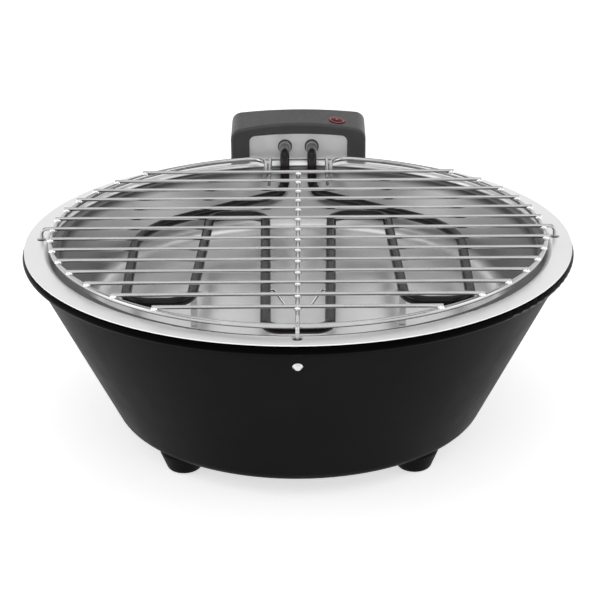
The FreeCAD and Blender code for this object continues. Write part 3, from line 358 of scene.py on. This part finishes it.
def make_finishes():
    """One finish for each material slot of the record."""
    return {
        "bowl_black": stoved_black(),
        "foot_black": moulded_black("foot_black", 0.004, 0.5, shine=0.06),
        "zinc_steel": plain_steel("zinc_steel", 0.55, 0.34),
        "rivet_bright": plain_steel("rivet_bright", 0.72, 0.34),
        "pan_steel": polished_pan(),
        "grid_chrome": bright_wire("bright_wire", 0.53),
        "element_sheath": heater_sheath(),
        "support_steel": plain_steel("support_steel", 0.70, 0.45),
        "collar_dark": collar_steel(),
        "shield_steel": plain_steel("shield_steel", 0.97, 0.42, vary=0.02, dent=0.01),
        "housing_grey": moulded_black("housing_grey", 0.072, 0.42),
        "base_grey": moulded_black("base_grey", 0.045, 0.46),
        "bead_ceramic": dull("bead_ceramic", (0.80, 0.78, 0.72), (0.72, 0.69, 0.62), 0.6),
        "pin_brass": plain_steel("pin_brass", 0.72, 0.3, tint=(1, 0.8, 0.42)),
        "block_white": dull("block_white", (0.80, 0.80, 0.78), (0.74, 0.74, 0.71), 0.5),
        "cutout_black": moulded_black("cutout_black", 0.02, 0.5),
        "lead_brown": dull("lead_brown", (0.16, 0.08, 0.04), (0.12, 0.06, 0.03), 0.6),
        "lead_blue": dull("lead_blue", (0.05, 0.12, 0.40), (0.04, 0.09, 0.32), 0.6),
        "lamp_red": lamp_red(),
        "lamp_white": dull("lamp_white", (0.75, 0.75, 0.73), (0.70, 0.70, 0.67), 0.5),
        "grommet_black": moulded_black("grommet_black", 0.015, 0.6),
    }


def dress_nodes(finishes):
    """Gives each solid the finish of its material slot."""
    slot_of = {part["node"]: part["material_slot"] for part in frame["record"]["subparts"]}
    for name, piece in frame["nodes"].items():
        piece.data.materials.clear()
        piece.data.materials.append(finishes[slot_of[name]])


def start_piece():
    """Clears the selection, so that an operator acts on the new piece alone."""
    bpy.ops.object.select_all(action="DESELECT")


def make_camera():
    """The photograph's view: a long lens, looking a little down."""
    view = bpy.data.cameras.new("view")
    view.lens = CAMERA_LENS
    view.sensor_width = CAMERA_SENSOR
    camera = bpy.data.objects.new("view", view)
    scene.collection.objects.link(camera)
    turn = Matrix()
    for angle, axis in zip(CAMERA_TURN, "ZXZ"):
        turn = turn @ Matrix.Rotation(math.radians(angle), 4, axis)
    camera.matrix_world = Matrix.Translation(CAMERA_PLACE) @ turn
    scene.camera = camera


def softbox(name, place, size, power):
    """A wide soft lamp turned to the object."""
    lamp = bpy.data.lights.new(name, "AREA")
    lamp.shape = "RECTANGLE"
    lamp.size, lamp.size_y = size
    lamp.energy = power
    piece = bpy.data.objects.new(name, lamp)
    scene.collection.objects.link(piece)
    piece.location = place
    piece.rotation_euler = (Vector(LAMP_AIM) - Vector(place)).to_track_quat("-Z", "Y").to_euler()


def seen_rays(tree):
    """One for rays that show the background: straight, mirrored or through glass."""
    path = tree.nodes.new("ShaderNodeLightPath")
    seen = path.outputs["Is Camera Ray"]
    for ray in ("Is Glossy Ray", "Is Transmission Ray"):
        either = tree.nodes.new("ShaderNodeMath")
        either.operation = "MAXIMUM"
        tree.links.new(seen, either.inputs[0])
        tree.links.new(path.outputs[ray], either.inputs[1])
        seen = either.outputs[0]
    return seen


def make_light():
    """A pale studio: white all round the horizon, dimmer overhead, with soft boxes above."""
    world = bpy.data.worlds.new("studio")
    scene.world = world
    world.use_nodes = True
    tree = world.node_tree
    background = tree.nodes["Background"]
    way = tree.nodes.new("ShaderNodeTexCoord")
    parts = tree.nodes.new("ShaderNodeSeparateXYZ")
    tree.links.new(way.outputs["Generated"], parts.inputs[0])
    sky = tree.nodes.new("ShaderNodeValToRGB")
    tree.links.new(parts.outputs["Z"], sky.inputs["Fac"])
    low, high = sky.color_ramp.elements
    low.position = HORIZON_TOP
    low.color = (1, 1, 1, 1)
    high.position = DIM_FROM
    high.color = (*grey(OVERHEAD), 1)
    tree.links.new(sky.outputs["Color"], background.inputs["Color"])
    level = tree.nodes.new("ShaderNodeMapRange")
    level.inputs["To Min"].default_value = FILL
    tree.links.new(seen_rays(tree), level.inputs["Value"])
    tree.links.new(level.outputs["Result"], background.inputs["Strength"])
    for name, (place, size, power) in LAMPS.items():
        softbox(name, place, size, power)


def make_floor():
    """A pale floor that reads white in the open and keeps the shadow."""
    start_piece()
    bpy.ops.mesh.primitive_plane_add(size=FLOOR_SIZE, location=(0, 0, 0))
    floor = bpy.context.object
    floor.name = "floor"
    finish = new_finish("pale_floor", Roughness=0.9, Specular_IOR_Level=0.1)
    cloud = speckle(finish, 3)
    feed(finish, "Base Color", shade(finish, cloud, [(0.3, grey(0.88)), (0.7, grey(0.90))]))
    far_off = apart(finish, (0, 0, 0), (1, 1, 0))
    glow = span(finish, far_off, FLOOR_GLOW, 1.0, FLOOR_NEAR, FLOOR_FAR)
    shader = finish.node_tree.nodes["Principled BSDF"]
    shader.inputs["Emission Color"].default_value = (1, 1, 1, 1)
    feed(finish, "Emission Strength",
         joined(finish, "MULTIPLY", seen_rays(finish.node_tree), glow))
    floor.data.materials.append(finish)


def pick(piece, test):
    """Selects the corners of a piece, in edit mode, that pass a test on their place."""
    bpy.ops.object.mode_set(mode="OBJECT")
    for part in (*piece.data.polygons, *piece.data.edges):
        part.select = False
    for corner in piece.data.vertices:
        corner.select = test(corner.co)
    bpy.ops.object.mode_set(mode="EDIT")


def weld_bead():
    """One weld: a drop drawn out along the wire, flattened where it has run on to it."""
    start_piece()
    bpy.ops.mesh.primitive_uv_sphere_add(segments=12, ring_count=8, radius=WELD_RADIUS)
    bead = bpy.context.object
    bpy.ops.object.mode_set(mode="EDIT")
    bpy.ops.mesh.select_all(action="SELECT")
    bpy.ops.mesh.bisect(plane_co=(0, 0, WELD_CUT), plane_no=(0, 0, 1), clear_inner=True,
                        use_fill=True)
    pick(bead, lambda place: place.z < 0)
    bpy.ops.transform.resize(value=WELD_FOOT)
    bpy.ops.mesh.select_all(action="SELECT")
    bpy.ops.transform.resize(value=WELD_DRAWN)
    bpy.ops.mesh.normals_make_consistent(inside=False)
    bpy.ops.object.mode_set(mode="OBJECT")
    bpy.ops.object.shade_smooth_by_angle(angle=math.radians(50))
    return bead


def weld_places():
    """Where the cross wires lie on the ring and on the middle rod."""
    low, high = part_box("grid_ring")
    gauge = high[2] - low[2]
    reach = (high[0] - low[0] - gauge) / 2
    for number in range(1, CROSS_WIRES + 1):
        first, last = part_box(f"grid_wire_{number:02d}")
        along = (first[1] + last[1]) / 2
        across = math.sqrt(reach ** 2 - along ** 2)
        for side in (-1, 1):
            yield Vector((side * across, along, high[2]))
        yield Vector((0, along, high[2] - ROD_SINK))


def weld_the_grid(finish):
    """Every weld of the grid, joined as one piece."""
    bead = weld_bead()
    copies = []
    for place in weld_places():
        copy = bead.copy()
        copy.data = bead.data.copy()
        copy.data.transform(Matrix.Translation(place))
        scene.collection.objects.link(copy)
        copies.append(copy)
    bpy.data.objects.remove(bead)
    start_piece()
    for copy in copies:
        copy.select_set(True)
    bpy.context.view_layer.objects.active = copies[0]
    bpy.ops.object.join()
    welds = bpy.context.object
    welds.name = "grid_welds"
    welds.data.materials.append(finish)
    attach(welds, "grid")


def make_lens(finish):
    """The pilot lamp's lens: a low dome with a stepped rim, lying flush in the hood's slope."""
    low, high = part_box("pilot_lens")
    start_piece()
    bpy.ops.mesh.primitive_circle_add(vertices=48, radius=LENS_REACH, fill_type="NGON")
    lens = bpy.context.object
    lens.name = "pilot_lens_dome"
    bpy.ops.object.mode_set(mode="EDIT")
    bpy.ops.mesh.select_all(action="SELECT")
    bpy.ops.mesh.extrude_region_move(TRANSFORM_OT_translate={"value": (0, 0, LENS_THICK)})
    for inset, rise in LENS_STEPS:
        bpy.ops.mesh.inset(thickness=inset)
        bpy.ops.transform.translate(value=(0, 0, rise))
    bpy.ops.mesh.select_all(action="SELECT")
    bpy.ops.mesh.normals_make_consistent(inside=False)
    bpy.ops.transform.translate(value=(0, 0, -LENS_SUNK))
    bpy.ops.object.mode_set(mode="OBJECT")
    slope = Vector((-HOOD_CROWN, -HOOD_RISE, 1)).to_track_quat("Z", "Y").to_matrix().to_4x4()
    place = Vector(((low[0] + high[0]) / 2, (low[1] + high[1]) / 2, LENS_SEAT))
    lens.data.transform(Matrix.Translation(place) @ slope)
    bpy.ops.object.shade_smooth_by_angle(angle=math.radians(40))
    lens.data.materials.append(finish)
    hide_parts("pilot_lens")
    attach(lens, "heater")


def make_spacer(finish):
    """The wire spacer under the element's middle legs: one half bent, then mirrored."""
    start_piece()
    bpy.ops.mesh.primitive_circle_add(vertices=12, radius=SPACER_WIRE / 2, fill_type="NGON")
    spacer = bpy.context.object
    spacer.name = "element_spacer"
    across, along, height = SPACER_START
    spacer.data.transform(Matrix.Translation(SPACER_START) @ Matrix.Rotation(math.pi / 2, 4, "Y"))
    lean = math.atan2(-SPACER_ARM[1], SPACER_ARM[0])
    bpy.ops.object.mode_set(mode="EDIT")
    bpy.ops.mesh.select_all(action="SELECT")
    bpy.ops.mesh.extrude_region_move(TRANSFORM_OT_translate={"value": (SPACER_FOOT, 0, 0)})
    hub = Vector((across + SPACER_FOOT, along - SPACER_BEND, height))
    bpy.ops.mesh.spin(steps=BEND_STEPS, angle=lean, center=hub, axis=(0, 0, 1))
    bpy.ops.mesh.extrude_region_move(TRANSFORM_OT_translate={"value": (*SPACER_ARM, 0)})
    hub += Vector((*SPACER_ARM, 0)) + 2 * SPACER_BEND * Vector((math.sin(lean), math.cos(lean), 0))
    bpy.ops.mesh.spin(steps=BEND_STEPS, angle=-lean, center=hub, axis=(0, 0, 1))
    bpy.ops.mesh.extrude_region_move(TRANSFORM_OT_translate={"value": (-hub.x, 0, 0)})
    bpy.ops.mesh.delete(type="ONLY_FACE")
    bpy.ops.object.mode_set(mode="OBJECT")
    mirror = spacer.modifiers.new("other_half", "MIRROR")
    mirror.merge_threshold = 0.00001
    bpy.ops.object.modifier_apply(modifier=mirror.name)
    bpy.ops.object.shade_smooth_by_angle(angle=math.radians(40))
    spacer.data.materials.append(finish)
    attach(spacer, "heater")


make_camera()
finishes = make_finishes()
dress_nodes(finishes)
# Painted highlight: the welds are the grid's chrome made much brighter.
weld_the_grid(bright_wire("weld_painted_highlight", 0.92))
make_lens(finishes["lamp_red"])
# Painted highlight: the spacer's chrome is made brighter than the grid's, so that it shows as lit
# wire.
make_spacer(bright_wire("spacer_wire_painted_highlight", 0.95))
make_light()
make_floor()
